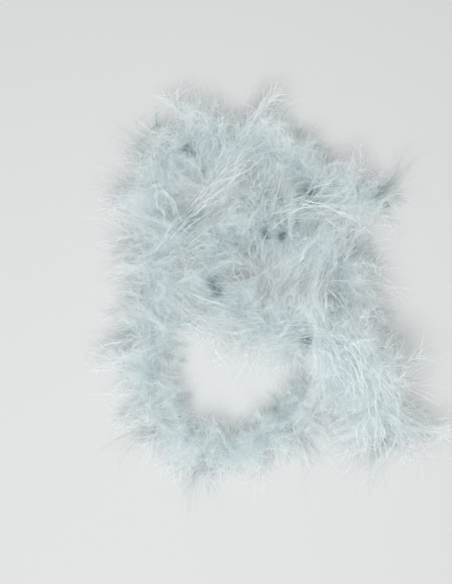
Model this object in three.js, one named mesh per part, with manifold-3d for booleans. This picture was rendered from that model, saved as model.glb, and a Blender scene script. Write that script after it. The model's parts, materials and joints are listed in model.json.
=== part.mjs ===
// A feather boa dropped in a loose pile on a table: a twisted cotton cord, marabou plumes bound round it
// in ruffs with a thread, and ostrich flues tied in between the ruffs. Millimetres, +Z up, and the origin
// is on the table under the middle of the pile. Marabou and flues are plain closed solids here: the space
// that the soft feathers fill.
import * as THREE from "three";
import { mergeVertices } from "three/addons/utils/BufferGeometryUtils.js";
import Module from "manifold-3d";

const wasm = await Module();
wasm.setup();

// Driving dimensions.
const CORD_DIAMETER = 4; // core cord, two plies of cotton twisted together
const THREAD_DIAMETER = 1; // binding thread, laid along the cord's underside
const RUFF_WIDTH = 78; // a ruff of marabou, across the cord
const RUFF_HEIGHT = 60; // the same ruff, flattened by its own weight
const RUFF_COUNT = 28;
const RUFF_GAP = 3; // between two ruffs at the cord
const SHOULDER_LENGTH = 16; // how far along the cord a ruff takes to reach its full width
const SHOULDER_SWELL = 0.72; // the share of its full width that it has halfway up the shoulder
const SETTLE = 3; // how deep a lying ruff is pressed flat by the table
const OVER_GAP = 4; // between a lying ruff and one that rests across it
const SOFT_GAP = 0.4; // between soft pieces that press on each other
const CLEARANCE = 0.3; // between pieces that touch
const BORE_EASE = 0.5; // more room in a ruff's bore, whose sides are flat
const HINGE_GAP = 0.95; // between the lengths of cord on either side of a bend
const END_MARGIN = 12; // bare cord at each end, for the whipping
const WHIPPING_LENGTH = 5;
const WHIPPING_WALL = 1.2;
const KNOT_DIAMETER = 11;
const FLUE_THICKNESS = 3;
const FLUE_ROOT_WIDTH = 1.6;
const FLUE_SPREAD = 0.19; // half the width of a bunch of flues over its distance from the cord
const FLUE_BELLY = 0.85; // where the bunch is widest, as a share of its reach
const FLUE_SWELL = 1.35; // how far its rounded end swells past the straight sides
const BEND_SPAN = 12; // the length of cord over which a bend is measured

const RUFF_SIDES = 12;
const FLUE_STEPS = 4;
const CORD_SIDES = 8;
const THREAD_SIDES = 6;
const KNOT_SIDES = 12;
const KNOT_RINGS = 8;
const ROUTE_STEPS = 3000;
const MERGE_DISTANCE = 1e-3;

const DYED_DOWN = { color: 0xc6d6da, roughness: 0.95, metalness: 0 };
const DYED_FLUE = { color: 0xd2e0e2, roughness: 0.85, metalness: 0 };
const COTTON = { color: 0xa9c2c8, roughness: 0.9, metalness: 0 };
const THREAD = { color: 0xe2ecee, roughness: 0.7, metalness: 0 };

// The route that the cord lies in, from end B to end A: x, y, and the level, which is 0 on the table and
// 1 on top of another run.
const LYING = RUFF_HEIGHT / 2 - SETTLE;
const OVER = RUFF_HEIGHT + OVER_GAP;
const ROUTE = [
  [166, 139, 0],
  [127, 155, 0],
  [83, 169, 0],
  [41, 188, 0],
  [4, 210, 0],
  [-41, 225, 0],
  [-90, 229, 0],
  [-128, 205, 0],
  [-143, 160, 0],
  [-144, 103, 0],
  [-143, 47, 0],
  [-145, -11, 0],
  [-149, -71, 0],
  [-144, -127, 0],
  [-119, -175, 0],
  [-71, -199, 0],
  [-15, -190, 0],
  [41, -155, 0],
  [87, -108, 0],
  [114, -49, 0],
  [122, 11, 0],
  [103, 58, 0],
  [56, 90, 0],
  [6, 109, 0],
  [-39, 102, 0],
  [-64, 67, 0],
  [-60, 21, 0],
  [-31, -15, 0.04],
  [14, -31, 0.25],
  [58, -38, 0.6],
  [99, -49, 0.95],
  [138, -77, 0.92],
  [159, -128, 0.42],
  [180, -187, 0.03],
];
const route = new THREE.CatmullRomCurve3(
  ROUTE.map(([x, y, level]) => new THREE.Vector3(x, y, LYING + level * OVER)),
  false,
  "catmullrom",
);
route.arcLengthDivisions = ROUTE_STEPS;
const CORD_LENGTH = route.getLength();
const RUFF_PITCH = (CORD_LENGTH - 2 * END_MARGIN) / RUFF_COUNT;
const gapAt = (index) => END_MARGIN + index * RUFF_PITCH;

// The cord's place and directions at a distance along it: ahead, to its left, and up.
function station(distance) {
  const u = THREE.MathUtils.clamp(distance / CORD_LENGTH, 0, 1);
  const place = route.getPointAt(u);
  const ahead = route.getTangentAt(u);
  const left = new THREE.Vector3(0, 0, 1).cross(ahead).normalize();
  const up = ahead.clone().cross(left);
  place.addScaledVector(ahead, distance - u * CORD_LENGTH);
  return { place, ahead, left, up };
}

// How sharply the cord turns to its left at a distance along it: one over the radius.
function bendAt(distance) {
  const before = station(distance - BEND_SPAN / 2).ahead;
  const after = station(distance + BEND_SPAN / 2).ahead;
  return before.cross(after).z / BEND_SPAN;
}

// A stretch of a line that runs beside the cord, a fixed distance below it.
class Stretch extends THREE.Curve {
  constructor(from, to, below) {
    super();
    Object.assign(this, { from, to, below });
  }
  getPoint(t) {
    const { place, up } = station(THREE.MathUtils.lerp(this.from, this.to, t));
    return place.addScaledVector(up, -this.below);
  }
}

function tube(from, to, diameter, sides, below) {
  const section = new THREE.Shape();
  section.absarc(0, 0, diameter / 2, 0, 2 * Math.PI);
  const steps = Math.max(1, Math.round((to - from) / (RUFF_PITCH / 2)));
  return new THREE.ExtrudeGeometry(new THREE.Shape(section.getPoints(sides)), {
    steps,
    extrudePath: new Stretch(from, to, below),
    bevelEnabled: false,
  });
}

function solid(geometry) {
  const bare = geometry.clone();
  for (const name of ["normal", "uv"]) bare.deleteAttribute(name);
  const merged = mergeVertices(bare, MERGE_DISTANCE);
  return new wasm.Manifold(
    new wasm.Mesh({
      numProp: 3,
      vertProperties: merged.attributes.position.array,
      triVerts: new Uint32Array(merged.index.array),
    }),
  );
}

function geometryOf(manifold) {
  const mesh = manifold.getMesh();
  const geometry = new THREE.BufferGeometry();
  geometry.setAttribute("position", new THREE.BufferAttribute(mesh.vertProperties, 3));
  geometry.setIndex(new THREE.BufferAttribute(mesh.triVerts, 1));
  geometry.computeVertexNormals();
  return geometry;
}

// The bore through a ruff clears the cord and the thread under it.
const BORE_RADIUS = CORD_DIAMETER / 2 + THREAD_DIAMETER + 2 * CLEARANCE + BORE_EASE;

// A ruff is a bead with sloping shoulders, turned on the cord's axis and bent along the route. On the
// inside of a bend the down is crowded together and stops short of the bend's centre.
function ruff(index, grow = 0) {
  const from = gapAt(index) + RUFF_GAP / 2 - grow;
  const length = RUFF_PITCH - RUFF_GAP + 2 * grow;
  const radius = RUFF_WIDTH / 2 + grow;
  const profile = [
    [BORE_RADIUS, 0],
    [SHOULDER_SWELL * radius, SHOULDER_LENGTH / 2],
    [radius, SHOULDER_LENGTH],
    [radius, length / 2],
    [radius, length - SHOULDER_LENGTH],
    [SHOULDER_SWELL * radius, length - SHOULDER_LENGTH / 2],
    [BORE_RADIUS, length],
    [BORE_RADIUS, length / 2],
    [BORE_RADIUS, 0],
  ].map(([r, along]) => new THREE.Vector2(r, along));
  const bead = new THREE.LatheGeometry(profile, RUFF_SIDES);
  const squash = (RUFF_HEIGHT + 2 * grow) / (RUFF_WIDTH + 2 * grow);
  const points = bead.attributes.position;
  for (let i = 0; i < points.count; i++) {
    const { place, left, up } = station(from + points.getY(i));
    const bend = bendAt(from + points.getY(i));
    const across = points.getX(i);
    const below = points.getZ(i);
    const inBore = Math.hypot(across, below) < BORE_RADIUS + MERGE_DISTANCE;
    const crowded = !inBore && across * bend > 0;
    place.addScaledVector(left, crowded ? Math.tanh(across * bend) / bend : across);
    place.addScaledVector(up, -below * (inBore ? 1 : squash));
    points.setXYZ(i, place.x, place.y, place.z);
  }
  return solid(bead);
}

// A bunch of ostrich flues: a thin fan whose root is tied to the cord in the gap between two ruffs. The
// heading is turned from the way the cord runs, and the fan dips by the droop to bring its tips to the
// table.
function flueFan({ gap, heading, reach, droop }) {
  const turn = THREE.MathUtils.degToRad(heading);
  const slant = (FLUE_ROOT_WIDTH / 2) * Math.abs(Math.cos(turn));
  const root = (CORD_DIAMETER / 2 + CLEARANCE + slant) / Math.abs(Math.sin(turn));
  const edge = RUFF_WIDTH / 2;
  const edgeHalf = FLUE_SPREAD * edge;
  const belly = FLUE_BELLY * reach;
  const bellyHalf = FLUE_SWELL * FLUE_SPREAD * reach;
  const outline = new THREE.Shape();
  outline.moveTo(root, -FLUE_ROOT_WIDTH / 2);
  outline.lineTo(edge, -edgeHalf);
  outline.quadraticCurveTo(belly, -bellyHalf, reach, 0);
  outline.quadraticCurveTo(belly, bellyHalf, edge, edgeHalf);
  outline.lineTo(root, FLUE_ROOT_WIDTH / 2);
  const fan = new THREE.ExtrudeGeometry(outline, {
    depth: FLUE_THICKNESS,
    curveSegments: FLUE_STEPS,
    bevelEnabled: false,
  });
  fan.translate(0, 0, -FLUE_THICKNESS / 2);
  const { place, ahead, left, up } = station(gapAt(gap));
  const dip = THREE.MathUtils.degToRad(droop);
  const level = ahead.multiplyScalar(Math.cos(turn)).addScaledVector(left, Math.sin(turn));
  const out = level.clone().multiplyScalar(Math.cos(dip)).addScaledVector(up, -Math.sin(dip));
  const aside = up.clone().cross(level);
  const over = out.clone().cross(aside);
  fan.applyMatrix4(new THREE.Matrix4().makeBasis(out, aside, over).setPosition(place));
  return solid(fan);
}

// A block for the table, wider than the boa however it lies.
const TABLE_SIZE = 2 * CORD_LENGTH;
const table = solid(
  new THREE.BoxGeometry(TABLE_SIZE, TABLE_SIZE, TABLE_SIZE).translate(0, 0, -TABLE_SIZE / 2),
);

const boa = new THREE.Group();
function add(name, geometry, look) {
  const mesh = new THREE.Mesh(geometry, new THREE.MeshStandardMaterial(look));
  mesh.name = name;
  boa.add(mesh);
  return mesh;
}

function boxesMeet(a, b) {
  const p = a.boundingBox();
  const q = b.boundingBox();
  return [0, 1, 2].every((k) => p.min[k] < q.max[k] && q.min[k] < p.max[k]);
}

function largest(manifold) {
  return manifold.decompose().sort((a, b) => b.volume() - a.volume())[0];
}

// Where two ruffs press on each other, the later one on the route gives way to the earlier one, and the
// fans give way to both.
const grown = [];
for (let index = 0; index < RUFF_COUNT; index++) {
  let down = ruff(index).subtract(table);
  for (const other of grown.slice(0, -1)) {
    if (boxesMeet(down, other)) down = down.subtract(other);
  }
  grown.push(ruff(index, SOFT_GAP));
  const number = String(index + 1).padStart(2, "0");
  add(`marabou_ruff_${number}`, geometryOf(largest(down)), DYED_DOWN);
}

// Bunches of flues that stand out past the down, by the gap that they are tied into.
const FLUE_FANS = [
  { gap: 0, heading: -125, reach: 84, droop: 13 },
  { gap: 3, heading: -95, reach: 89.5, droop: 13 },
  { gap: 5, heading: -80, reach: 82, droop: 13 },
  { gap: 6, heading: -100, reach: 84, droop: 13 },
  { gap: 7, heading: -85, reach: 108, droop: 12 },
  { gap: 9, heading: -90, reach: 92, droop: 13 },
  { gap: 11, heading: -95, reach: 106, droop: 12 },
  { gap: 12, heading: -80, reach: 103, droop: 12 },
  { gap: 14, heading: -95, reach: 88, droop: 13 },
  { gap: 15, heading: -90, reach: 84, droop: 13 },
  { gap: 16, heading: -85, reach: 82, droop: 13 },
  { gap: 18, heading: -85, reach: 92, droop: 13 },
  { gap: 20, heading: -80, reach: 98, droop: 13 },
  { gap: RUFF_COUNT - 2, heading: 80, reach: 96, droop: 16 },
  { gap: RUFF_COUNT, heading: 50, reach: 82, droop: 12 },
  { gap: RUFF_COUNT, heading: -55, reach: 80, droop: 12 },
];
FLUE_FANS.forEach((fan, index) => {
  let flues = flueFan(fan).subtract(table);
  for (const other of grown) {
    if (boxesMeet(flues, other)) flues = flues.subtract(other);
  }
  const number = String(index + 1).padStart(2, "0");
  add(`ostrich_flues_${number}`, geometryOf(largest(flues)), DYED_FLUE);
});

// The cord and its thread are one length each. They are cut where an end of the boa bends up from the pile.
const BENDS = [1, 2, RUFF_COUNT - 3, RUFF_COUNT - 1].map(gapAt);
const LENGTHS = ["end_b_outer", "end_b_inner", "middle", "end_a_inner", "end_a_outer"];
const cuts = [0, ...BENDS, CORD_LENGTH];
const THREAD_DROP = CORD_DIAMETER / 2 + CLEARANCE + THREAD_DIAMETER / 2;
LENGTHS.forEach((name, index) => {
  const first = index === 0;
  const last = index === LENGTHS.length - 1;
  const from = cuts[index] + (first ? 0 : HINGE_GAP / 2);
  const to = cuts[index + 1] - (last ? 0 : HINGE_GAP / 2);
  const threadFrom = first ? END_MARGIN : from;
  const threadTo = last ? CORD_LENGTH - END_MARGIN : to;
  add(`core_cord_${name}`, tube(from, to, CORD_DIAMETER, CORD_SIDES, 0), COTTON);
  add(
    `binding_thread_${name}`,
    tube(threadFrom, threadTo, THREAD_DIAMETER, THREAD_SIDES, THREAD_DROP),
    THREAD,
  );
});

// Each end of the cord is whipped with thread and finished with a knot, which butts on the cord's end.
function whipping(from) {
  const inner = CORD_DIAMETER / 2 + CLEARANCE;
  const outer = inner + WHIPPING_WALL;
  const profile = [
    [inner, 0],
    [outer, 0],
    [outer, WHIPPING_LENGTH],
    [inner, WHIPPING_LENGTH],
    [inner, 0],
  ].map(([r, along]) => new THREE.Vector2(r, along));
  return new THREE.LatheGeometry(profile, RUFF_SIDES).applyMatrix4(along(from));
}

// A matrix that stands a shape made on +Y on the cord, with +Y ahead.
function along(distance) {
  const { place, ahead, left, up } = station(distance);
  return new THREE.Matrix4().makeBasis(left, ahead, up.negate()).setPosition(place);
}

function knot(distance) {
  const ball = new THREE.SphereGeometry(KNOT_DIAMETER / 2, KNOT_SIDES, KNOT_RINGS);
  return ball.applyMatrix4(along(distance));
}

const WHIPPING_INSET = (END_MARGIN - WHIPPING_LENGTH) / 4;
const KNOT_REACH = KNOT_DIAMETER / 2 + CLEARANCE;
add("end_whipping_b", whipping(WHIPPING_INSET), THREAD);
add("end_whipping_a", whipping(CORD_LENGTH - WHIPPING_INSET - WHIPPING_LENGTH), THREAD);
add("end_knot_b", knot(-KNOT_REACH), COTTON);
add("end_knot_a", knot(CORD_LENGTH + KNOT_REACH), COTTON);

export default boa;
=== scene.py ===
"""A pale blue feather boa of marabou down and ostrich flues, dropped in a loose pile on a white table.

The rope of feathers is built the way a boa is: a twisted cotton cord, plumes of marabou bound round it
with thread in one ruff after another, and long ostrich flues tied in between the ruffs.
"""

import json
import math
import random

import bmesh
import bpy
import numpy as np
from mathutils import Euler, Matrix, Vector

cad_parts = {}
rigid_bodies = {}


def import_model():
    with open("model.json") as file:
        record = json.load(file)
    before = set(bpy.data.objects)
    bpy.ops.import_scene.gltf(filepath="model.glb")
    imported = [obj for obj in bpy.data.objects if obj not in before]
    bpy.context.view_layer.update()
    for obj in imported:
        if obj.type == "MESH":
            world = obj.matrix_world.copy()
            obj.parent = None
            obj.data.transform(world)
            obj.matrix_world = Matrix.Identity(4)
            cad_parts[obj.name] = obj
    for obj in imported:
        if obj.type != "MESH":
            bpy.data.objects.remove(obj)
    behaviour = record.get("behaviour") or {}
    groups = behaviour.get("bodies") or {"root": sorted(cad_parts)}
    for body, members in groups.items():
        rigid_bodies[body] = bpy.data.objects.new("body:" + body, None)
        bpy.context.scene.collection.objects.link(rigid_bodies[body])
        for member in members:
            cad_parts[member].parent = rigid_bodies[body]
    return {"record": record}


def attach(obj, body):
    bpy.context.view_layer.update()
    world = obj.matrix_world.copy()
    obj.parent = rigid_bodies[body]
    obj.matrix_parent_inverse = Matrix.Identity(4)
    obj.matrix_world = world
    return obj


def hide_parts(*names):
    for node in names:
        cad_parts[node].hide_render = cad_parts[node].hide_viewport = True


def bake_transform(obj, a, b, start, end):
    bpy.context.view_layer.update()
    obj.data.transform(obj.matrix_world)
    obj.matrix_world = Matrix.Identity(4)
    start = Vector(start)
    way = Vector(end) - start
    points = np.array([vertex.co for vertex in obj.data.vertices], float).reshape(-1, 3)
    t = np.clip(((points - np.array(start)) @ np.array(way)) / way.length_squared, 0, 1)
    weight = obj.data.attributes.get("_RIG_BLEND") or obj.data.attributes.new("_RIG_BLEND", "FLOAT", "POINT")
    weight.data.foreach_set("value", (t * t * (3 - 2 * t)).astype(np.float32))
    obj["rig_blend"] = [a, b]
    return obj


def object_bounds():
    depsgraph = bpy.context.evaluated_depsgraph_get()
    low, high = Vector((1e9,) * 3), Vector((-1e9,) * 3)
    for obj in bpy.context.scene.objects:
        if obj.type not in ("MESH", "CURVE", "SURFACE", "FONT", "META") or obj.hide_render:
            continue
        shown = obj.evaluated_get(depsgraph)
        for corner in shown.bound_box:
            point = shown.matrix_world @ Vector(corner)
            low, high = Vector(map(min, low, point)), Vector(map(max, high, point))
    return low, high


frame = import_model()
cad_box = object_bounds()

# --------------------------------------------------------------------------------------------------
# The view. The boa is seen from straight above, a little to the left of the pile's middle, from about head
# height over a table. The lens takes in 0.8 m from top to bottom at the height of the cord.
VIEW_HEIGHT = 1.9
FOCUS_HEIGHT = 0.03
VIEW_MIDDLE = (-0.048, 0.017)
VIEW_SPAN = 0.800
SENSOR = 36.0

view = bpy.data.cameras.new("view")
view.sensor_fit = "VERTICAL"
view.sensor_height = SENSOR
view.lens = SENSOR * (VIEW_HEIGHT - FOCUS_HEIGHT) / VIEW_SPAN
camera = bpy.data.objects.new("camera", view)
camera.location = (*VIEW_MIDDLE, VIEW_HEIGHT)
bpy.context.collection.objects.link(camera)
bpy.context.scene.camera = camera

# --------------------------------------------------------------------------------------------------
# The core cord: two plies of dyed cotton twisted together, one length for the whole boa. It is made here in
# five lengths, which meet where an end of the boa can be lifted from the pile. The third figure of a point
# is how far the cord has risen there, from 0 on the table to 1 where it lies over another run.
CORD_DIAMETER = 0.004
PLY_TWIST = 0.013
LYING = 0.027
OVER = 0.064
ROUTE = [
    (0.166, 0.139, 0),
    (0.127, 0.155, 0),
    (0.083, 0.169, 0),
    (0.041, 0.188, 0),
    (0.004, 0.210, 0),
    (-0.041, 0.225, 0),
    (-0.090, 0.229, 0),
    (-0.128, 0.205, 0),
    (-0.143, 0.160, 0),
    (-0.144, 0.103, 0),
    (-0.143, 0.047, 0),
    (-0.145, -0.011, 0),
    (-0.149, -0.071, 0),
    (-0.144, -0.127, 0),
    (-0.119, -0.175, 0),
    (-0.071, -0.199, 0),
    (-0.015, -0.190, 0),
    (0.041, -0.155, 0),
    (0.087, -0.108, 0),
    (0.114, -0.049, 0),
    (0.122, 0.011, 0),
    (0.103, 0.058, 0),
    (0.056, 0.090, 0),
    (0.006, 0.109, 0),
    (-0.039, 0.102, 0),
    (-0.064, 0.067, 0),
    (-0.060, 0.021, 0),
    (-0.031, -0.015, 0.04),
    (0.014, -0.031, 0.25),
    (0.058, -0.038, 0.6),
    (0.099, -0.049, 0.95),
    (0.138, -0.077, 0.92),
    (0.159, -0.128, 0.42),
    (0.180, -0.187, 0.03),
]
RUFF_COUNT = 28
END_MARGIN = 0.012
HINGE_GAP = 0.00095
STEPS_PER_SPAN = 60
PLY_STEP = 0.0013
FEWEST_STEPS = 12
NODES_OF = frame["record"]["behaviour"]["bodies"]
BODY_OF = {node: body for body, nodes in NODES_OF.items() for node in nodes}


def smooth_route():
    """Points close together on one smooth curve through the route, and how far along it each one is."""
    given = np.array([(x, y, LYING + level * OVER) for x, y, level in ROUTE])
    given = np.vstack([2 * given[0] - given[1], given, 2 * given[-1] - given[-2]])
    t = np.linspace(0, 1, STEPS_PER_SPAN, endpoint=False)[:, None]
    stretches = []
    for before, start, end, after in zip(given, given[1:], given[2:], given[3:]):
        leave = (end - before) / 2
        arrive = (after - start) / 2
        curve = (2 * t**3 - 3 * t**2 + 1) * start + (t**3 - 2 * t**2 + t) * leave
        stretches.append(curve + (3 * t**2 - 2 * t**3) * end + (t**3 - t**2) * arrive)
    line = np.vstack([*stretches, given[-2:-1]])
    steps = np.linalg.norm(np.diff(line, axis=0), axis=1)
    return line, np.append(0, np.cumsum(steps))


LINE, REACHED = smooth_route()
CORD_LENGTH = REACHED[-1]
RUFF_PITCH = (CORD_LENGTH - 2 * END_MARGIN) / RUFF_COUNT


def unit(vectors):
    return vectors / np.linalg.norm(vectors, axis=-1, keepdims=True)


def stations(distances):
    """The cord's place and directions at distances along it: ahead, to its left, and up."""
    distances = np.asarray(distances, float)
    inside = np.clip(distances, 0.001, CORD_LENGTH - 0.001)
    at, before, after = (
        np.stack([np.interp(inside + step, REACHED, LINE[:, k]) for k in range(3)], axis=-1)
        for step in (0, -0.001, 0.001)
    )
    ahead = unit(after - before)
    left = unit(np.cross([0, 0, 1], ahead))
    up = np.cross(ahead, left)
    return at + ahead * (distances - inside)[..., None], ahead, left, up


def gap_at(index):
    return END_MARGIN + index * RUFF_PITCH


def add_piece(name, mesh, material, node):
    """Puts a finished mesh in the scene in place of a CAD node, on the body that the node rides."""
    mesh.materials.clear()
    mesh.materials.append(material)
    piece = bpy.data.objects.new(name, mesh)
    bpy.context.collection.objects.link(piece)
    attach(piece, BODY_OF[node])
    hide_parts(node)
    return piece


def tubes(name, lines, radius, roundness=2, closed=False):
    """One mesh of round tubes that follow the lines."""
    curve = bpy.data.curves.new(name, "CURVE")
    curve.dimensions = "3D"
    curve.bevel_depth = radius
    curve.bevel_resolution = roundness
    curve.use_fill_caps = True
    for line in lines:
        spline = curve.splines.new("POLY")
        spline.points.add(len(line) - 1)
        spline.points.foreach_set("co", np.column_stack([line, np.ones(len(line))]).ravel())
        spline.use_cyclic_u = closed
    holder = bpy.data.objects.new(name, curve)
    mesh = bpy.data.meshes.new_from_object(holder)
    bpy.data.objects.remove(holder)
    mesh.shade_smooth()
    return mesh


def wound(distances, radius, pitch, phase=0.0):
    """A line wound round the cord at that radius, with one turn for each pitch."""
    place, _, left, up = stations(distances)
    turn = (2 * math.pi * np.asarray(distances) / pitch + phase)[:, None]
    return place + radius * (np.cos(turn) * left + np.sin(turn) * up)


def linear(hex_colour):
    """An sRGB colour such as "c8d8dc", as the linear values that a shader takes."""
    shares = [int(hex_colour[k : k + 2], 16) / 255 for k in (0, 2, 4)]
    return (*(s / 12.92 if s < 0.04045 else ((s + 0.055) / 1.055) ** 2.4 for s in shares), 1.0)


def add_node(tree, kind, settings=None, **links):
    """Adds a node. A setting is a property of its own or an input's value, and a link feeds an input."""
    node = tree.nodes.new(kind)
    for key, value in (settings or {}).items():
        if hasattr(node, key):
            setattr(node, key, value)
        else:
            node.inputs[key].default_value = value
    for key, source in links.items():
        tree.links.new(source, node.inputs[key.replace("_", " ")])
    return node


def new_material(name):
    material = bpy.data.materials.new(name)
    material.use_nodes = True
    material.node_tree.nodes.clear()
    return material, material.node_tree


def spun_cotton(name, hex_dark, hex_light):
    """Dyed cotton yarn: matt, with fine fibres that run along the ply and catch the light unevenly."""
    material, tree = new_material(name)
    place = add_node(tree, "ShaderNodeTexCoord")
    fibres = add_node(
        tree, "ShaderNodeTexNoise", {"Scale": 1800.0, "Detail": 3.0}, Vector=place.outputs["Object"]
    )
    colours = add_node(tree, "ShaderNodeValToRGB", Fac=fibres.outputs["Fac"])
    colours.color_ramp.elements[0].color = linear(hex_dark)
    colours.color_ramp.elements[0].position = 0.3
    colours.color_ramp.elements[1].color = linear(hex_light)
    colours.color_ramp.elements[1].position = 0.7
    relief = add_node(
        tree,
        "ShaderNodeBump",
        {"Strength": 0.5, "Distance": 0.0002},
        Height=fibres.outputs["Fac"],
    )
    cotton = add_node(
        tree,
        "ShaderNodeBsdfPrincipled",
        {"Roughness": 0.9, "Sheen Weight": 0.3, "Sheen Roughness": 0.5},
        Base_Color=colours.outputs["Color"],
        Normal=relief.outputs["Normal"],
    )
    add_node(tree, "ShaderNodeOutputMaterial", Surface=cotton.outputs[0])
    return material


cord_cotton = spun_cotton("dyed_cotton_cord", "86a1a8", "a9c3c9")
BENDS = [gap_at(index) for index in (1, 2, RUFF_COUNT - 3, RUFF_COUNT - 1)]
LENGTHS = ["end_b_outer", "end_b_inner", "middle", "end_a_inner", "end_a_outer"]
CUTS = [0, *BENDS, CORD_LENGTH]

for name, start, end in zip(LENGTHS, CUTS, CUTS[1:]):
    start += 0 if start == 0 else HINGE_GAP / 2
    end -= 0 if end == CORD_LENGTH else HINGE_GAP / 2
    steps = np.linspace(start, end, max(FEWEST_STEPS, round((end - start) / PLY_STEP)))
    plies = [wound(steps, CORD_DIAMETER / 4, PLY_TWIST, phase) for phase in (0, math.pi)]
    mesh = tubes(f"core_cord_{name}", plies, CORD_DIAMETER / 4, roundness=1)
    piece = add_piece(f"twisted_cord_{name}", mesh, cord_cotton, f"core_cord_{name}")

# --------------------------------------------------------------------------------------------------
# The binding thread: fine pale sewing thread, wound tightly round the cord and the quills from one end of
# the boa to the other. It is what holds the plumes.
THREAD_RADIUS = 0.00028
THREAD_PITCH = 0.0032
POINTS_PER_TURN = 9

sewing_thread = spun_cotton("pale_sewing_thread", "c3d4d8", "e3eef0")
for name, start, end in zip(LENGTHS, CUTS, CUTS[1:]):
    start = max(start, END_MARGIN)
    end = min(end, CORD_LENGTH - END_MARGIN)
    steps = np.linspace(start, end, round((end - start) / THREAD_PITCH * POINTS_PER_TURN))
    turns = wound(steps, CORD_DIAMETER / 2 + 2 * THREAD_RADIUS, THREAD_PITCH)
    mesh = tubes(f"binding_thread_{name}", [turns], THREAD_RADIUS, roundness=0)
    add_piece(f"thread_turns_{name}", mesh, sewing_thread, f"binding_thread_{name}")

# --------------------------------------------------------------------------------------------------
# The ends: the cord is whipped with close turns of the same thread so that it can't unravel, and then tied
# in a simple knot. The knots show as small greyish spots in the fringe.
WHIPPING_LENGTH = 0.005
WHIPPING_INSET = 0.00175
WHIPPING_PITCH = 0.00058
WHIPPING_RADIUS = CORD_DIAMETER / 2 + 0.0006
WHIPPING_POINTS = 130
KNOT_BEYOND_END = 0.0058
KNOT_LOOP = 0.00125
KNOT_CORD_RADIUS = 0.0017

knot_cotton = spun_cotton("handled_cotton_knot", "7d8685", "a5adab")
for end, whip_start, knot_middle in (
    ("b", WHIPPING_INSET, -KNOT_BEYOND_END),
    ("a", CORD_LENGTH - WHIPPING_INSET - WHIPPING_LENGTH, CORD_LENGTH + KNOT_BEYOND_END),
):
    steps = np.linspace(whip_start, whip_start + WHIPPING_LENGTH, WHIPPING_POINTS)
    turns = wound(steps, WHIPPING_RADIUS, WHIPPING_PITCH)
    mesh = tubes(f"whipping_{end}", [turns], THREAD_RADIUS, roundness=1)
    add_piece(f"whipping_turns_{end}", mesh, sewing_thread, f"end_whipping_{end}")
    t = np.linspace(0, 2 * math.pi, 60, endpoint=False)
    across = KNOT_LOOP * (np.sin(t) + 2 * np.sin(2 * t))
    along = KNOT_LOOP * (np.cos(t) - 2 * np.cos(2 * t))
    lift = -1.5 * KNOT_LOOP * np.sin(3 * t)
    place, ahead, left, up = (part[0] for part in stations([knot_middle]))
    loop = place + np.outer(across, left) + np.outer(along, ahead) + np.outer(lift, up)
    mesh = tubes(f"knot_{end}", [loop], KNOT_CORD_RADIUS, roundness=3, closed=True)
    add_piece(f"tied_knot_{end}", mesh, knot_cotton, f"end_knot_{end}")

# --------------------------------------------------------------------------------------------------
# The marabou ruffs: soft body plumes of young turkey, dyed pale ice blue. Each plume has a thin limp quill
# with long downy barbs all round it, and sixty plumes are bound in over each stretch of the cord.
QUILL_LENGTH = 0.044
QUILL_WIDTH = 0.0007
BARB_LENGTH = 0.034
BARB_WIDTH = 0.00030
BARBS_PER_PLUME = 108
PLUMES_PER_RUFF = 60
PLUME_KINDS = 14
FLOP_HEIGHT = 0.042
FLOOR_CLEARANCE = 0.0004
LEAST_HEIGHT = 0.004
STRAY = 0.008
STRAY_SHARE = 0.03
TURN_BACK = 0.030
DRIFTS = [(0.0065, 0.090, 13), (0.0028, 0.030, 4), (0.0012, 0.009, 5)]
# Painted shade: the down is darkened the closer it lies to the table, under LOW_DOWN_HEIGHT, by up to
# LOW_DOWN_SHADE.
LOW_DOWN_HEIGHT = 0.016
LOW_DOWN_SHADE = 0.40
CROWDING = 1.6
BEND_REACH = 0.006
LEAST_BEND = 0.1
# Darker near the cord, within CORE_RADIUS by up to CORE_SHADE but not past DEEP_TONE: partly the dye's
# deeper root, partly painted shade where the barbs crowd.
DEEP_TONE = 0.3
CORE_SHADE = 0.25
CORE_RADIUS = 0.022
# Painted shade in dark spots between the plumes: how much they darken the tone, and each spot's place and
# width.
PIT_SHADE = 0.5
PAINTED_PIT_SHADOWS = [
    (-0.100, 0.210, 0.008),
    (-0.090, 0.205, 0.006),
    (-0.107, 0.102, 0.009),
    (-0.082, 0.119, 0.007),
    (0.008, 0.154, 0.010),
    (0.022, 0.150, 0.010),
    (0.066, 0.152, 0.012),
    (0.004, 0.097, 0.008),
    (0.030, 0.092, 0.007),
    (-0.068, 0.030, 0.009),
    (-0.060, 0.020, 0.008),
    (-0.010, 0.078, 0.007),
    (0.058, -0.050, 0.009),
    (0.094, -0.012, 0.006),
    (0.064, 0.140, 0.016),
    (-0.096, 0.112, 0.012),
]


def ribbon(shape, length, width, segments, matrix, curl, tone):
    """Adds one barb to a bmesh: a thin tapering ribbon that starts along +X and curls by that angle at its
    tip. The tone is how light the barb is, and rises a little towards the tip."""
    made = bmesh.ops.create_grid(shape, x_segments=segments, y_segments=1, size=0.5)
    shade = shape.verts.layers.float["tone"]
    for corner in made["verts"]:
        share = corner.co.x + 0.5
        side = corner.co.y * width * (1 - 0.85 * share)
        bend = curl * share
        reach = length * share * (1 if abs(bend) < 1e-4 else math.sin(bend) / bend)
        rise = length * share * (0 if abs(bend) < 1e-4 else (1 - math.cos(bend)) / bend)
        corner.co = matrix @ Vector((reach, side, rise))
        corner[shade] = tone + 0.25 * share


def new_shape():
    shape = bmesh.new()
    shape.verts.layers.float.new("tone")
    return shape


def finished_mesh(name, shape):
    mesh = bpy.data.meshes.new(name)
    shape.to_mesh(mesh)
    shape.free()
    return mesh


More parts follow.
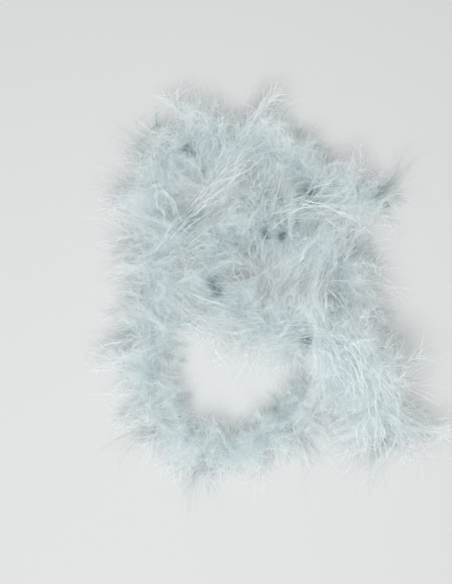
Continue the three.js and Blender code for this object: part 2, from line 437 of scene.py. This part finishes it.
def marabou_plume(name, chance):
    """A plume that lies along +X with its root at the origin. Its barbs leave the quill on all sides and
    sweep on towards the tip."""
    shape = new_shape()
    arch = chance.uniform(-0.5, 0.5)
    length = QUILL_LENGTH * chance.uniform(0.85, 1.1)
    ribbon(shape, length, QUILL_WIDTH, 5, Matrix.Identity(4), arch, 0.35)
    for index in range(BARBS_PER_PLUME):
        share = 0.02 + 0.98 * (index + chance.random()) / BARBS_PER_PLUME
        bend = arch * share
        root = Vector((length * share, 0, length * share * bend / 2))
        splay = chance.gauss(1.15 - 0.45 * share, 0.28)
        turn = Euler((chance.uniform(0, 2 * math.pi), 0, 0)).to_matrix().to_4x4()
        turn = turn @ Euler((0, -splay, 0)).to_matrix().to_4x4()
        turn = turn @ Euler((chance.uniform(0, 2 * math.pi), 0, 0)).to_matrix().to_4x4()
        lean = Euler((0, -bend, 0)).to_matrix().to_4x4()
        barb = BARB_LENGTH * chance.uniform(0.35, 1.2) * (1 - 0.25 * share)
        matrix = Matrix.Translation(root) @ lean @ turn
        ribbon(shape, barb, BARB_WIDTH, 4, matrix, chance.gauss(0, 0.9), chance.gauss(0.45, 0.12))
    return finished_mesh(name, shape)


def tie_in(shape, feather, matrix, tone):
    """Adds a copy of a feather to a ruff, lighter or darker by tone."""
    copy = feather.copy()
    copy.transform(matrix)
    shades = np.empty(len(copy.vertices), np.float32)
    copy.attributes["tone"].data.foreach_get("value", shades)
    copy.attributes["tone"].data.foreach_set("value", shades + tone)
    shape.from_mesh(copy)
    bpy.data.meshes.remove(copy)


def waves(points, length, seed):
    """A smooth random direction at each point, which changes over about that length. It is the same for
    points that are near each other, so feathers drift together."""
    chance = np.random.default_rng(seed)
    drift = np.zeros_like(points)
    for _ in range(6):
        heading = unit(chance.normal(size=3)) * 2 * math.pi / (length * chance.uniform(0.7, 1.5))
        push = unit(chance.normal(size=3))
        drift += np.sin(points @ heading + chance.uniform(0, 2 * math.pi))[:, None] * push
    return drift / 2.5


def settle(points, loose):
    """Feathers drift with their neighbours, the more the further they are from where they are tied. Those
    that meet the table lie on it, and the tips that stray furthest from the pile turn back."""
    drift = sum(far * waves(points, length, seed) for far, length, seed in DRIFTS)
    points = points + drift * loose[:, None] * (1, 1, 0.35)
    sunk = np.minimum(points[:, 2] - LEAST_HEIGHT, 0)
    points[:, 2] = np.where(sunk < 0, LEAST_HEIGHT * np.exp(sunk / 0.012), points[:, 2])
    points[:, 2] += FLOOR_CLEARANCE
    for k in range(3):
        stray = STRAY + STRAY_SHARE * (cad_box[1][k] - cad_box[0][k])
        over = np.maximum(points[:, k] - cad_box[1][k] - stray + TURN_BACK, 0)
        points[:, k] -= over - TURN_BACK * np.tanh(over / TURN_BACK)
        if k < 2:
            over = np.maximum(cad_box[0][k] - stray + TURN_BACK - points[:, k], 0)
            points[:, k] += over - TURN_BACK * np.tanh(over / TURN_BACK)
    return points


def bend_along_cord(points):
    """Takes points given as across, along and above the cord to their place in the pile. Feathers on the
    inside of a bend are crowded together."""
    place, _, left, up = stations(points[:, 1])
    before = stations(points[:, 1] - BEND_REACH)[1]
    after = stations(points[:, 1] + BEND_REACH)[1]
    bend = np.cross(before, after)[:, 2] / (2 * BEND_REACH)
    bend = np.where(np.abs(bend) < LEAST_BEND, LEAST_BEND, bend)
    across = points[:, 0]
    crowded = across * bend > 0
    limit = CROWDING / bend
    across = np.where(crowded, np.tanh(across / limit) * limit, across)
    return place + across[:, None] * left + points[:, 2:] * up


def coordinates(mesh):
    points = np.empty(3 * len(mesh.vertices), np.float32)
    mesh.vertices.foreach_get("co", points)
    return points.reshape(-1, 3).astype(float)


def move_vertices(mesh, points):
    mesh.vertices.foreach_set("co", points.astype(np.float32).ravel())
    mesh.update()


def feather_dye_and_painted_shade(name, hex_painted_shade, hex_deep, hex_mid, hex_pale, see_through, sheen):
    """Dyed down: every barb is a thin see-through thread, so light goes on through it and comes out soft and
    pale. The tone picks the colour: the deeper colour comes partly from the dye near the cord and partly as
    painted shade where the barbs crowd, and the darkest colour is painted shade."""
    material, tree = new_material(name)
    shade = add_node(tree, "ShaderNodeAttribute", {"attribute_name": "tone"})
    colours = add_node(tree, "ShaderNodeValToRGB", Fac=shade.outputs["Fac"])
    ramp = colours.color_ramp.elements
    ramp[0].color = linear(hex_painted_shade)
    ramp[1].color = linear(hex_pale)
    ramp.new(DEEP_TONE).color = linear(hex_deep)
    ramp.new(0.6).color = linear(hex_mid)
    barb = add_node(
        tree,
        "ShaderNodeBsdfPrincipled",
        {"Roughness": 0.75, "Specular IOR Level": 0.25, "Sheen Weight": sheen, "Sheen Roughness": 0.4},
        Base_Color=colours.outputs["Color"],
    )
    glow = add_node(tree, "ShaderNodeBsdfTranslucent", Color=colours.outputs["Color"])
    both = add_node(tree, "ShaderNodeMixShader", {"Fac": see_through})
    tree.links.new(barb.outputs[0], both.inputs[1])
    tree.links.new(glow.outputs[0], both.inputs[2])
    add_node(tree, "ShaderNodeOutputMaterial", Surface=both.outputs[0])
    return material


# 75959c is painted shade, for the pit spots and the down low by the table; e1ebec is the deeper colour near
# the cord, partly dye and partly painted shade.
marabou_down = feather_dye_and_painted_shade("marabou_down_dye_and_painted_shade", "75959c", "e1ebec", "f4f8f9", "fafcfd", 0.5, 0.25)
chance = random.Random(11)
plume_kinds = [marabou_plume(f"plume_{kind}", chance) for kind in range(PLUME_KINDS)]

# Between the plumes of each ruff lie tufts of ostrich flues, long fine strands that catch the light over
# the down.
FLUE_WIDTH = 0.00055
TUFT_LENGTH = 0.092
FLUES_PER_TUFT = 10
TUFTS_PER_RUFF = 6
TUFT_KINDS = 10


def flue_tuft(name, chance, length, spread, width, sweep):
    """A tuft of ostrich flues along +X: strands from one root that part a little and curl at the tips."""
    shape = new_shape()
    for _ in range(FLUES_PER_TUFT):
        turn = Euler((chance.gauss(0, 0.5), chance.gauss(0, spread), chance.gauss(0, spread)))
        strand = length * chance.uniform(0.55, 1.1)
        curl = sweep + chance.gauss(0, 0.35)
        matrix = turn.to_matrix().to_4x4()
        ribbon(shape, strand, width, 12, matrix, curl, chance.gauss(0.45, 0.12))
    return finished_mesh(name, shape)


tuft_kinds = [
    flue_tuft(f"tuft_{kind}", chance, TUFT_LENGTH, 0.13, FLUE_WIDTH, 0.3 + 0.09 * kind)
    for kind in range(TUFT_KINDS)
]


def fullness(index):
    """How far a ruff's plumes reach on its left and on its right, as shares of their usual length. They are
    combed back on the inside of the big loop, and reach furthest over the inner loop and at end A."""
    if index < 3:
        return 1.05, 1.0
    if index < 9:
        return 1.25, 1.15
    if index < 18:
        return 0.78, 1.02
    if index < 22:
        return 1.35, 1.12
    if index < 25:
        return 1.5, 1.05
    return 1.25, 1.55


def painted_pit_shade(points):
    """Painted shade: how much darker the down is made in small hollows between plumes. Each pit has its
    place and its width, and a ragged edge."""
    ragged = points + 0.005 * waves(points, 0.018, 7)
    depth = np.zeros(len(points))
    for x, y, width in PAINTED_PIT_SHADOWS:
        away = np.hypot(ragged[:, 0] - x, ragged[:, 1] - y) / width
        depth = np.maximum(depth, np.exp(-(away**2)))
    return PIT_SHADE * depth


def shade_down(mesh, core, painted_shade):
    """Takes each corner's tone down: darker near the cord, partly for the dye's deeper root and partly as
    painted shade where the barbs crowd, and then by the painted shade that it is given, low by the table and
    in the pit spots."""
    shades = np.empty(len(core), np.float32)
    mesh.attributes["tone"].data.foreach_get("value", shades)
    shades = np.maximum(shades - core, DEEP_TONE) - painted_shade
    mesh.attributes["tone"].data.foreach_set("value", shades.astype(np.float32))


def feather_ruff(index):
    """One ruff of down with its tufts of flues, made straight and then bent along the cord."""
    chance = random.Random(100 + index)
    shape = new_shape()
    start = gap_at(index)
    for number in range(PLUMES_PER_RUFF):
        along = start + RUFF_PITCH * (number + chance.random()) / PLUMES_PER_RUFF
        turn = Matrix.Rotation(chance.uniform(0, 2 * math.pi), 4, "Y")
        turn = turn @ Matrix.Rotation(chance.gauss(0, 0.7), 4, "Z")
        turn = turn @ Matrix.Rotation(chance.uniform(0, 2 * math.pi), 4, "X")
        size = Matrix.Scale(chance.uniform(0.6, 1.3), 4)
        matrix = Matrix.Translation((0, along, 0)) @ turn @ size
        tie_in(shape, chance.choice(plume_kinds), matrix, chance.gauss(0, 0.05))
    for number in range(TUFTS_PER_RUFF):
        along = start + RUFF_PITCH * (number + chance.random()) / TUFTS_PER_RUFF
        turn = Matrix.Rotation(chance.uniform(-0.35, math.pi + 0.35), 4, "Y").inverted()
        turn = turn @ Matrix.Rotation(chance.gauss(0, 0.6), 4, "Z")
        turn = turn @ Matrix.Rotation(chance.uniform(0, 2 * math.pi), 4, "X")
        matrix = Matrix.Translation((0, along, 0)) @ turn
        tie_in(shape, chance.choice(tuft_kinds), matrix, chance.gauss(0, 0.08))
    mesh = finished_mesh(f"ruff_{index}", shape)
    points = coordinates(mesh)
    from_cord = np.hypot(points[:, 0], points[:, 2])
    loose = np.clip(from_cord / 0.04, 0, 1.3)
    # Darker near the cord: partly the dye's deeper root, partly painted shade where the barbs crowd.
    core = CORE_SHADE * np.clip(1 - from_cord / CORE_RADIUS, 0, 1)
    points[:, 2] = FLOP_HEIGHT * np.tanh(points[:, 2] / FLOP_HEIGHT)
    side = np.sin(points[:, 1] / 0.011) + np.sin(points[:, 1] / 0.0173 + 1.0)
    points[:, 0] += 0.5 * side * np.maximum(points[:, 2], 0)
    on_left, on_right = fullness(index)
    points[:, 0] *= np.where(points[:, 0] > 0, on_left, on_right)
    points = settle(bend_along_cord(points), loose)
    move_vertices(mesh, points)
    # Painted shade: darker where the down lies low by the table, and in the pit spots.
    low = LOW_DOWN_SHADE * np.clip(1 - points[:, 2] / LOW_DOWN_HEIGHT, 0, 1)
    shade_down(mesh, core, low + painted_pit_shade(points))
    return mesh


for index in range(RUFF_COUNT):
    number = f"{index + 1:02d}"
    mesh = feather_ruff(index)
    add_piece(f"ruff_of_down_{number}", mesh, marabou_down, f"marabou_ruff_{number}")

# --------------------------------------------------------------------------------------------------
# The loose ostrich flues: bunches of the longest strands, which stand out past the down, lie on the table
# round the pile, and are what makes its outline ragged. Each is tied into a gap between two ruffs, and has
# that gap's number and the strands' turn, in degrees, from the way that the cord runs.
BUNCH_LENGTH = 0.112
BUNCH_FLUE_WIDTH = 0.00045
TUFTS_PER_BUNCH = 5
BUNCH_ROOTS = [
    (0, -125),
    (3, -95),
    (5, -80),
    (6, -100),
    (7, -85),
    (9, -90),
    (11, -95),
    (12, -80),
    (14, -95),
    (15, -90),
    (16, -85),
    (18, -85),
    (20, -80),
    (RUFF_COUNT - 2, 80),
    (RUFF_COUNT, 50),
    (RUFF_COUNT, -55),
]

# 8a9ca1 and c6d3d6 are painted shade, for the loose flues that lie on the table round the pile.
ostrich_flue = feather_dye_and_painted_shade("ostrich_flue_dye_and_painted_shade", "8a9ca1", "c6d3d6", "eef4f5", "fafdfd", 0.4, 0.3)
long_tufts = [
    flue_tuft(f"long_tuft_{kind}", chance, BUNCH_LENGTH, 0.12, BUNCH_FLUE_WIDTH, 0.5 + 0.12 * kind)
    for kind in range(TUFT_KINDS)
]


def flue_bunch(gap, heading, chance):
    """A bunch of flues tied into that gap, and turned by that heading."""
    shape = new_shape()
    for _ in range(TUFTS_PER_BUNCH):
        turn = Matrix.Rotation(math.radians(heading) + chance.gauss(0, 0.22), 4, "Z")
        turn = turn @ Matrix.Rotation(chance.gauss(0.2, 0.12), 4, "Y")
        turn = turn @ Matrix.Rotation(chance.uniform(-0.5, 0.5) + chance.choice((0, math.pi)), 4, "X")
        # The loose flues get a darker tone: painted shade where they lie on the table round the pile.
        tie_in(shape, chance.choice(long_tufts), turn, chance.gauss(-0.36, 0.08))
    mesh = finished_mesh(f"bunch_{gap}", shape)
    place, ahead, left, up = (part[0] for part in stations([gap_at(gap)]))
    points = coordinates(mesh)
    loose = np.clip(np.linalg.norm(points, axis=1) / 0.04, 0, 2.0)
    move_vertices(mesh, settle(place + points @ np.array([ahead, left, up]), loose))
    return mesh


for index, (gap, heading) in enumerate(BUNCH_ROOTS):
    number = f"{index + 1:02d}"
    mesh = flue_bunch(gap, heading, random.Random(300 + index))
    add_piece(f"loose_flues_{number}", mesh, ostrich_flue, f"ostrich_flues_{number}")

# --------------------------------------------------------------------------------------------------
# Sweeps of flues: strands of the same ostrich that lie over the pile, combed one way as the boa dropped.
# A sweep has the place of its root, its heading, how steeply it falls, how far it turns from there, its
# length, how many strands it has, and how far they spread.
BARBULE_LENGTH = 0.0024
BARBULE_WIDTH = 0.00025
BARBULE_SPACING = 0.0022
SWEEP_FLUE_WIDTH = 0.0011
SWEEPS = [
    ("fan_over_corner", "pile", (-0.112, 0.092, 0.070), 38, 0, 14, 0.170, 34, 0.14),
    ("fan_over_top_run", "pile", (-0.078, 0.150, 0.070), 52, 0, -28, 0.120, 34, 0.24),
    ("strands_down_left_run", "pile", (-0.142, 0.170, 0.070), -66, 4, 10, 0.080, 26, 0.24),
    ("spray_from_left_run", "pile", (-0.118, 0.082, 0.070), -50, 4, -12, 0.100, 26, 0.24),
    ("upright_strands", "pile", (0.006, 0.126, 0.072), 82, 0, -12, 0.085, 24, 0.22),
    ("bow_over_top_run", "pile", (0.030, 0.122, 0.072), 18, 0, 44, 0.125, 30, 0.16),
    ("strands_over_top_run", "pile", (0.046, 0.122, 0.072), 4, 0, 12, 0.120, 28, 0.20),
    ("strands_back_over_top_run", "pile", (0.100, 0.160, 0.070), 205, 0, 30, 0.095, 20, 0.30),
    ("strands_over_middle", "pile", (-0.080, 0.052, 0.068), 4, 0, -14, 0.090, 24, 0.24),
    ("arcs_in_middle", "pile", (-0.010, 0.062, 0.066), 100, 0, -90, 0.085, 20, 0.30),
    ("tuft_in_middle", "pile", (0.010, 0.002, 0.062), 96, 4, -30, 0.070, 24, 0.42),
    ("arcs_round_inner_loop", "pile", (-0.100, 0.000, 0.066), -34, 2, 62, 0.130, 32, 0.14),
    ("arcs_below_inner_loop", "pile", (-0.086, -0.018, 0.060), -26, 4, 52, 0.110, 26, 0.14),
    ("hook_over_lower_loop", "pile", (0.022, -0.048, 0.104), 16, 6, -92, 0.135, 34, 0.11),
    ("curls_at_lower_left", "pile", (-0.140, -0.150, 0.066), 10, 0, -50, 0.085, 22, 0.45),
    ("strands_to_the_right", "pile", (0.104, 0.022, 0.070), -20, 8, -34, 0.110, 26, 0.34),
    ("curls_at_right", "pile", (0.110, 0.050, 0.070), 40, 8, -60, 0.080, 20, 0.40),
    ("fall_from_crossing", "end_a_inner", (0.112, -0.046, 0.128), -58, 16, -10, 0.150, 50, 0.22),
    ("fall_beside_crossing", "end_a_inner", (0.082, -0.068, 0.110), -70, 22, -4, 0.140, 44, 0.20),
    ("fall_along_end", "end_a_inner", (0.142, -0.096, 0.112), -66, 22, 12, 0.130, 50, 0.26),
    ("fall_past_end", "end_a_outer", (0.158, -0.136, 0.088), -60, 20, 16, 0.120, 50, 0.28),
]
# Five sweeps lie across a hinge, and are lifted with the end that they lie on. Each has the hinge, and how
# far past its axis the strands begin to follow the end and follow it fully.
SWEEPS_OVER_HINGE = {
    "bow_over_top_run": ("end_b_lift", 0.025, 0.055),
    "strands_over_top_run": ("end_b_lift", 0.035, 0.065),
    "strands_back_over_top_run": ("end_b_lift", 0.015, 0.045),
    "fall_beside_crossing": ("end_a_tip_lift", -0.010, 0.030),
    "fall_along_end": ("end_a_tip_lift", -0.010, 0.030),
}
HINGES = {joint["name"]: joint for joint in frame["record"]["behaviour"]["joints"]}


def fluffy_flue(length, curl, tone, chance):
    """One ostrich flue along +X: a fine strand with short barbules on both sides, which make it soft."""
    shape = new_shape()
    ribbon(shape, length, SWEEP_FLUE_WIDTH, 14, Matrix.Identity(4), curl, tone)
    for number in range(int(length / BARBULE_SPACING)):
        share = (number + chance.random()) * BARBULE_SPACING / length
        bend = curl * share
        reach = length * share * math.sin(bend) / bend
        rise = length * share * (1 - math.cos(bend)) / bend
        way = Matrix.Translation((reach, 0, rise)) @ Matrix.Rotation(-bend, 4, "Y")
        for side in (-1, 1):
            turn = Matrix.Rotation(chance.gauss(0, 0.5), 4, "X")
            turn = turn @ Matrix.Rotation(side * chance.uniform(0.6, 1.1), 4, "Z")
            ribbon(shape, BARBULE_LENGTH, BARBULE_WIDTH, 1, way @ turn, 0, tone)
    return finished_mesh("flue", shape)


def flue_sweep(root, heading, fall, turning, length, count, spread, chance):
    shape = new_shape()
    for _ in range(count):
        way = Matrix.Rotation(math.radians(heading) + chance.gauss(0, spread), 4, "Z")
        way = way @ Matrix.Rotation(math.radians(fall) + chance.gauss(-0.02, 0.06), 4, "Y")
        way = way @ Matrix.Rotation(math.radians(-90) + chance.gauss(0, 0.30), 4, "X")
        aside = Vector((chance.gauss(0, 0.012), chance.gauss(0, 0.012), chance.gauss(0, 0.004)))
        place = Vector(root) + aside
        curl = math.radians(turning) + chance.gauss(0, 0.65)
        flue = fluffy_flue(length * chance.uniform(0.6, 1.08), curl, chance.gauss(0.7, 0.06), chance)
        tie_in(shape, flue, Matrix.Translation(place) @ way, 0)
        bpy.data.meshes.remove(flue)
    return finished_mesh("sweep", shape)


for index, (name, body, *facts) in enumerate(SWEEPS):
    mesh = flue_sweep(*facts, random.Random(500 + index))
    points = coordinates(mesh)
    loose = np.clip(np.linalg.norm(points - facts[0], axis=1) / 0.05, 0, 1.5)
    move_vertices(mesh, settle(points, loose))
    mesh.materials.append(ostrich_flue)
    piece = bpy.data.objects.new(name, mesh)
    bpy.context.collection.objects.link(piece)
    if name in SWEEPS_OVER_HINGE:
        hinge_name, bends_from, bends_to = SWEEPS_OVER_HINGE[name]
        hinge = HINGES[hinge_name]
        pivot = Vector(hinge["pos_m"])
        outwards = Vector((0, 0, 1)).cross(Vector(hinge["axis"]))
        start = pivot + bends_from * outwards
        end = pivot + bends_to * outwards
        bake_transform(piece, hinge["parent"], hinge["child"], start=start, end=end)
    else:
        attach(piece, body)

# --------------------------------------------------------------------------------------------------
# The table and the light: a matt white board under a big soft window, nearly overhead and a little towards
# the lower left, in a bright room.
BOARD_SIDE = 6.0
WINDOW_SIDE = 1.6
WINDOW_PLACE = (-0.25, -0.5, 2.4)

board_shape = bmesh.new()
bmesh.ops.create_grid(board_shape, x_segments=1, y_segments=1, size=BOARD_SIDE / 2)
board_mesh = bpy.data.meshes.new("table_top")
board_shape.to_mesh(board_mesh)
board_shape.free()
board = bpy.data.objects.new("table_top", board_mesh)
bpy.context.collection.objects.link(board)
board_paint, tree = new_material("matt_white_board")
paint = add_node(tree, "ShaderNodeBsdfPrincipled", {"Base Color": linear("c2c3c3"), "Roughness": 0.8})
add_node(tree, "ShaderNodeOutputMaterial", Surface=paint.outputs[0])
board_mesh.materials.append(board_paint)

window = bpy.data.lights.new("window", "AREA")
window.shape = "RECTANGLE"
window.size = WINDOW_SIDE
window.size_y = WINDOW_SIDE
window.energy = 60
window_light = bpy.data.objects.new("window", window)
window_light.location = WINDOW_PLACE
window_light.rotation_euler = (-window_light.location).to_track_quat("-Z", "Y").to_euler()
bpy.context.collection.objects.link(window_light)

room = bpy.data.worlds.new("room")
room.use_nodes = True
room.node_tree.nodes["Background"].inputs["Color"].default_value = linear("fafafa")
room.node_tree.nodes["Background"].inputs["Strength"].default_value = 0.52
bpy.context.scene.world = room
bpy.context.scene.view_settings.view_transform = "Standard"
# Pale down passes light on many times before it comes out.
bpy.context.scene.cycles.diffuse_bounces = 10
